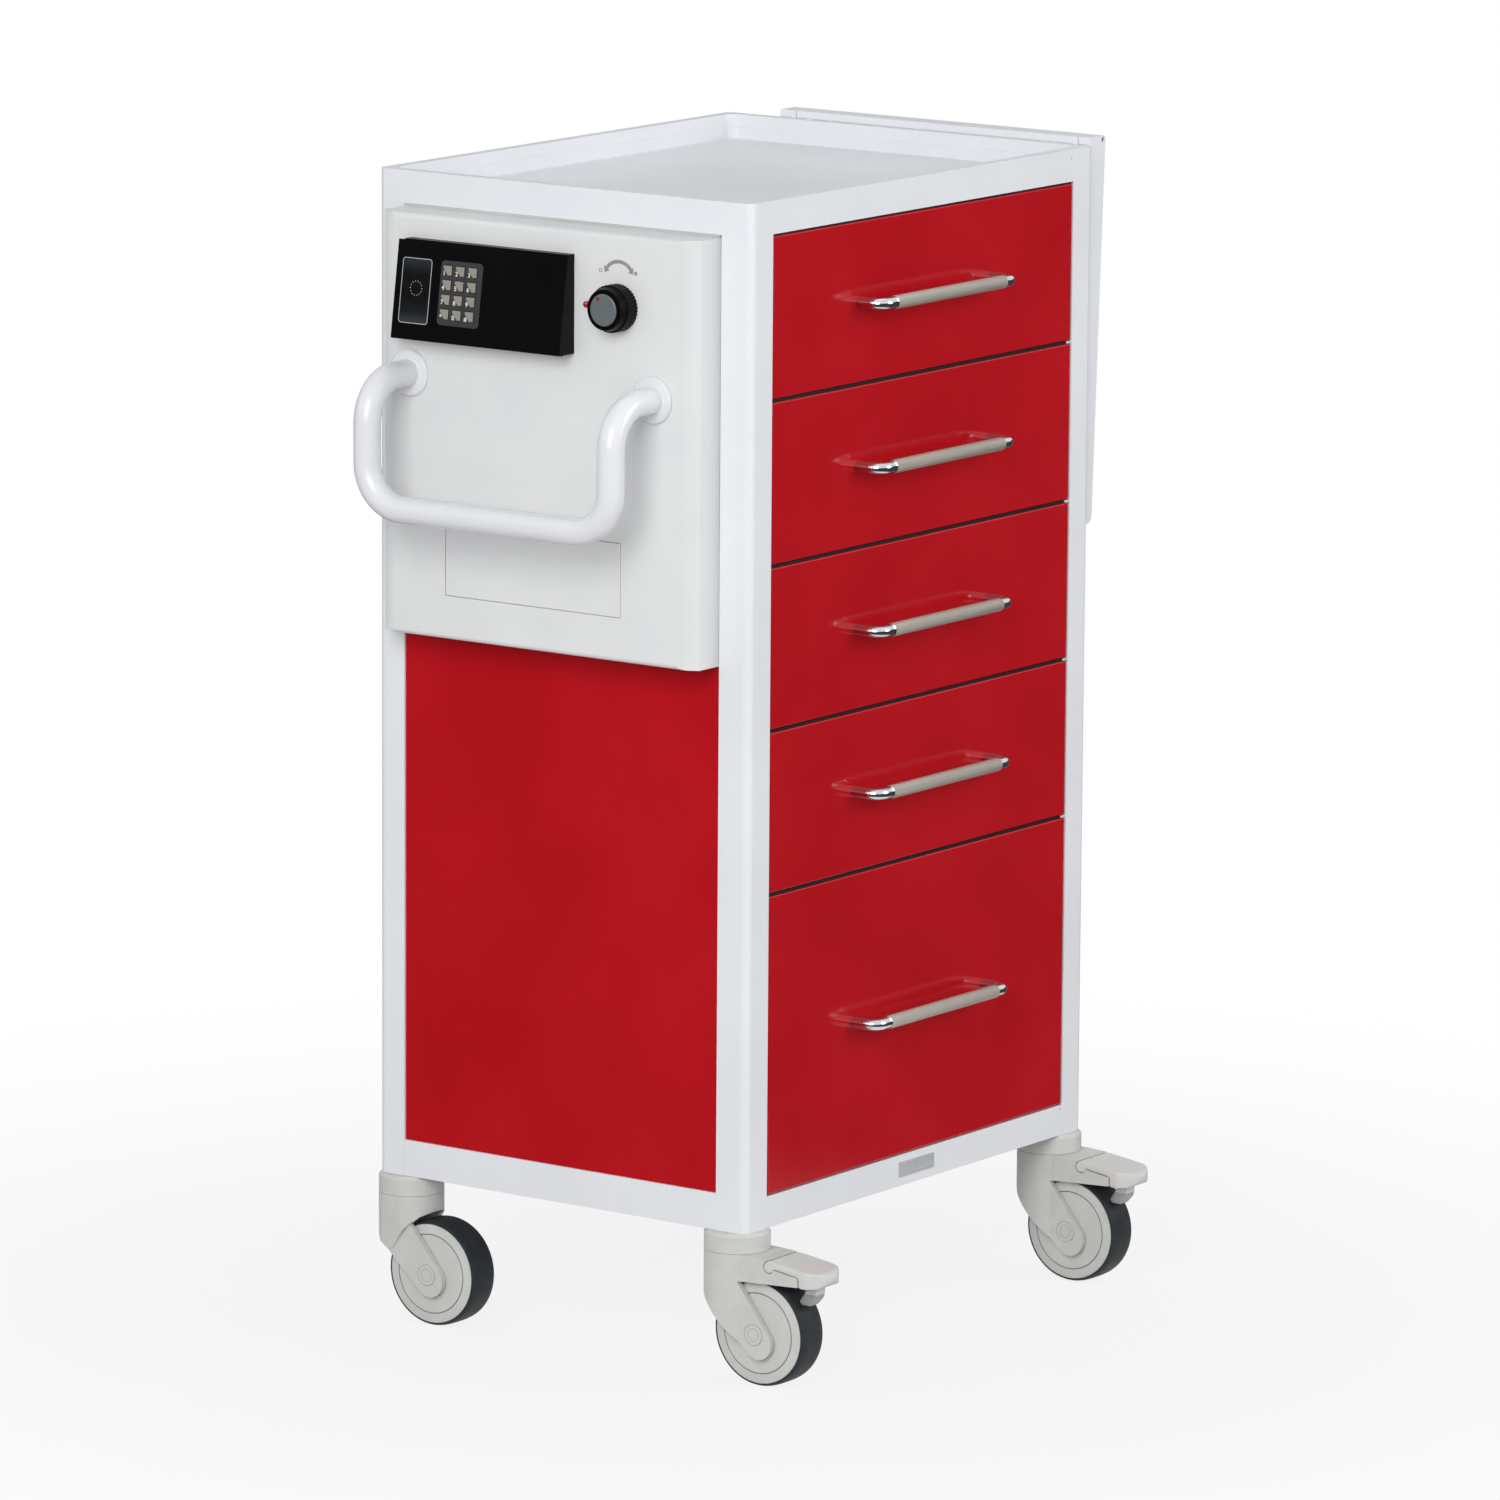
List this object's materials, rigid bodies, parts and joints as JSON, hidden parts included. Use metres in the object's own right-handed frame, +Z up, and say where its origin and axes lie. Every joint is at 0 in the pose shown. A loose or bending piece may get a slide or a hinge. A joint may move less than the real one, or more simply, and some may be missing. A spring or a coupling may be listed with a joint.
{
  "type": "hospital crash cart",
  "caption": "Upright drawer cart on swivel casters with a rimmed tray top, an electronic lock housing, a push handle and a drop-leaf side table.",
  "frame": {"origin": "centre of the bounding box, on the floor under the wheels", "axes": "+Z up; the drawers face -Y; the lock housing and push handle are on the -X side"},
  "size_m": [0.6866, 0.5116, 1.085],
  "materials": {
    "cabinet_paint": "smooth satin powder coat",
    "red_paint": "glossy red powder coat",
    "housing_plastic": "fine-textured warm white moulding",
    "case_plastic": "satin black moulding",
    "reader_window": "dark polished window",
    "keypad_plastic": "dark grey flat touch pad",
    "cap_plastic": "mid grey cap",
    "lamp_plastic": "clear red lens",
    "handle_paint": "glossy white coat on bent tube",
    "chrome": "polished chrome plate",
    "zinc_steel": "zinc-plated sheet and bar",
    "caster_plastic": "light grey glass-filled nylon",
    "tyre_rubber": "blue-grey thermoplastic rubber",
    "electronics": "green circuit board and wrapped cells"
  },
  "bodies": {
    "cart": {"corner_posts": "cabinet_paint", "bottom_rails": "cabinet_paint", "top_tray": "cabinet_paint", "left_panel": "red_paint", "right_panel": "red_paint", "back_panel": "cabinet_paint", "base_pan": "zinc_steel", "side_liners": "zinc_steel", "outer_runners": "zinc_steel", "lock_housing": "housing_plastic", "service_cover": "housing_plastic", "lock_case": "case_plastic", "card_reader": "reader_window", "keypad": "keypad_plastic", "push_handle": "handle_paint", "indicator_lamp": "lamp_plastic", "lock_electronics": "electronics", "table_brackets": "zinc_steel", "hinge_pins": "zinc_steel", "caster_stems": "caster_plastic"},
    "knob": {"knob": "case_plastic", "knob_cap": "cap_plastic", "knob_shaft": "zinc_steel"},
    "lock_bar": {"lock_bar": "zinc_steel"},
    "table": {"table_leaf": "cabinet_paint"},
    "stay": {"table_stay": "chrome"},
    "drawer_1": {"drawer_front_1": "red_paint", "drawer_box_1": "zinc_steel", "drawer_handle_1": "chrome"},
    "runners_1": {"middle_runner_1": "zinc_steel"},
    "drawer_2": {"drawer_front_2": "red_paint", "drawer_box_2": "zinc_steel", "drawer_handle_2": "chrome"},
    "runners_2": {"middle_runner_2": "zinc_steel"},
    "drawer_3": {"drawer_front_3": "red_paint", "drawer_box_3": "zinc_steel", "drawer_handle_3": "chrome"},
    "runners_3": {"middle_runner_3": "zinc_steel"},
    "drawer_4": {"drawer_front_4": "red_paint", "drawer_box_4": "zinc_steel", "drawer_handle_4": "chrome"},
    "runners_4": {"middle_runner_4": "zinc_steel"},
    "drawer_5": {"drawer_front_5": "red_paint", "drawer_box_5": "zinc_steel", "drawer_handle_5": "chrome"},
    "runners_5": {"middle_runner_5": "zinc_steel"},
    "caster_1": {"caster_fork_1": "caster_plastic"},
    "wheel_1": {"wheel_hub_1": "caster_plastic", "tyre_1": "tyre_rubber"},
    "pedal_1": {"brake_pedal_1": "caster_plastic"},
    "caster_2": {"caster_fork_2": "caster_plastic"},
    "wheel_2": {"wheel_hub_2": "caster_plastic", "tyre_2": "tyre_rubber"},
    "pedal_2": {"brake_pedal_2": "caster_plastic"},
    "caster_3": {"caster_fork_3": "caster_plastic"},
    "wheel_3": {"wheel_hub_3": "caster_plastic", "tyre_3": "tyre_rubber"},
    "caster_4": {"caster_fork_4": "caster_plastic"},
    "wheel_4": {"wheel_hub_4": "caster_plastic", "tyre_4": "tyre_rubber"}
  },
  "joints": [
    {"name": "knob_turn", "type": "hinge", "parent": "cart", "child": "knob", "pos_m": [-0.26775, -0.05415, 0.98], "axis": [1, 0, 0], "range_deg": [0, 60]},
    {"name": "lock_slide", "type": "slide", "parent": "cart", "child": "lock_bar", "axis": [0, 0, 1], "range_m": [0, 0.01]},
    {"name": "table_fold", "type": "hinge", "parent": "cart", "child": "table", "pos_m": [0.33925, 0.01125, 1.081], "axis": [0, -1, 0], "range_deg": [0, 92.4]},
    {"name": "stay_swing", "type": "hinge", "parent": "cart", "child": "stay", "pos_m": [0.32125, 0.01125, 0.95829], "axis": [0, -1, 0], "range_deg": [0, 135.5]},
    {"name": "drawer_1_pull", "type": "slide", "parent": "cart", "child": "drawer_1", "axis": [0, -1, 0], "range_m": [0, 0.34]},
    {"name": "runners_1_slide", "type": "slide", "parent": "cart", "child": "runners_1", "axis": [0, -1, 0], "range_m": [0, 0.17]},
    {"name": "drawer_2_pull", "type": "slide", "parent": "cart", "child": "drawer_2", "axis": [0, -1, 0], "range_m": [0, 0.34]},
    {"name": "runners_2_slide", "type": "slide", "parent": "cart", "child": "runners_2", "axis": [0, -1, 0], "range_m": [0, 0.17]},
    {"name": "drawer_3_pull", "type": "slide", "parent": "cart", "child": "drawer_3", "axis": [0, -1, 0], "range_m": [0, 0.34]},
    {"name": "runners_3_slide", "type": "slide", "parent": "cart", "child": "runners_3", "axis": [0, -1, 0], "range_m": [0, 0.17]},
    {"name": "drawer_4_pull", "type": "slide", "parent": "cart", "child": "drawer_4", "axis": [0, -1, 0], "range_m": [0, 0.34]},
    {"name": "runners_4_slide", "type": "slide", "parent": "cart", "child": "runners_4", "axis": [0, -1, 0], "range_m": [0, 0.17]},
    {"name": "drawer_5_pull", "type": "slide", "parent": "cart", "child": "drawer_5", "axis": [0, -1, 0], "range_m": [0, 0.34]},
    {"name": "runners_5_slide", "type": "slide", "parent": "cart", "child": "runners_5", "axis": [0, -1, 0], "range_m": [0, 0.17]},
    {"name": "caster_1_swivel", "type": "hinge", "parent": "cart", "child": "caster_1", "pos_m": [-0.20875, -0.14875, 0.11], "axis": [0, 0, 1], "continuous": true},
    {"name": "wheel_1_roll", "type": "hinge", "parent": "caster_1", "child": "wheel_1", "pos_m": [-0.20875, -0.18475, 0.05], "axis": [1, 0, 0], "continuous": true},
    {"name": "pedal_1_lift", "type": "hinge", "parent": "caster_1", "child": "pedal_1", "pos_m": [-0.20875, -0.20075, 0.1148], "axis": [-1, 0, 0], "range_deg": [0, 12]},
    {"name": "caster_2_swivel", "type": "hinge", "parent": "cart", "child": "caster_2", "pos_m": [0.29525, -0.14875, 0.11], "axis": [0, 0, 1], "continuous": true},
    {"name": "wheel_2_roll", "type": "hinge", "parent": "caster_2", "child": "wheel_2", "pos_m": [0.29525, -0.18475, 0.05], "axis": [1, 0, 0], "continuous": true},
    {"name": "pedal_2_lift", "type": "hinge", "parent": "caster_2", "child": "pedal_2", "pos_m": [0.29525, -0.20075, 0.1148], "axis": [-1, 0, 0], "range_deg": [0, 12]},
    {"name": "caster_3_swivel", "type": "hinge", "parent": "cart", "child": "caster_3", "pos_m": [-0.20875, 0.22525, 0.11], "axis": [0, 0, 1], "continuous": true},
    {"name": "wheel_3_roll", "type": "hinge", "parent": "caster_3", "child": "wheel_3", "pos_m": [-0.20875, 0.18925, 0.05], "axis": [1, 0, 0], "continuous": true},
    {"name": "caster_4_swivel", "type": "hinge", "parent": "cart", "child": "caster_4", "pos_m": [0.29525, 0.22525, 0.11], "axis": [0, 0, 1], "continuous": true},
    {"name": "wheel_4_roll", "type": "hinge", "parent": "caster_4", "child": "wheel_4", "pos_m": [0.29525, 0.18925, 0.05], "axis": [1, 0, 0], "continuous": true}
  ],
  "couplings": [
    {"joint": "knob_turn", "follows": "lock_slide", "rad_per_m": 104.72},
    {"joint": "stay_swing", "follows": "table_fold", "ratio": 1.461},
    {"joint": "runners_1_slide", "follows": "drawer_1_pull", "ratio": 0.5},
    {"joint": "runners_2_slide", "follows": "drawer_2_pull", "ratio": 0.5},
    {"joint": "runners_3_slide", "follows": "drawer_3_pull", "ratio": 0.5},
    {"joint": "runners_4_slide", "follows": "drawer_4_pull", "ratio": 0.5},
    {"joint": "runners_5_slide", "follows": "drawer_5_pull", "ratio": 0.5}
  ]
}
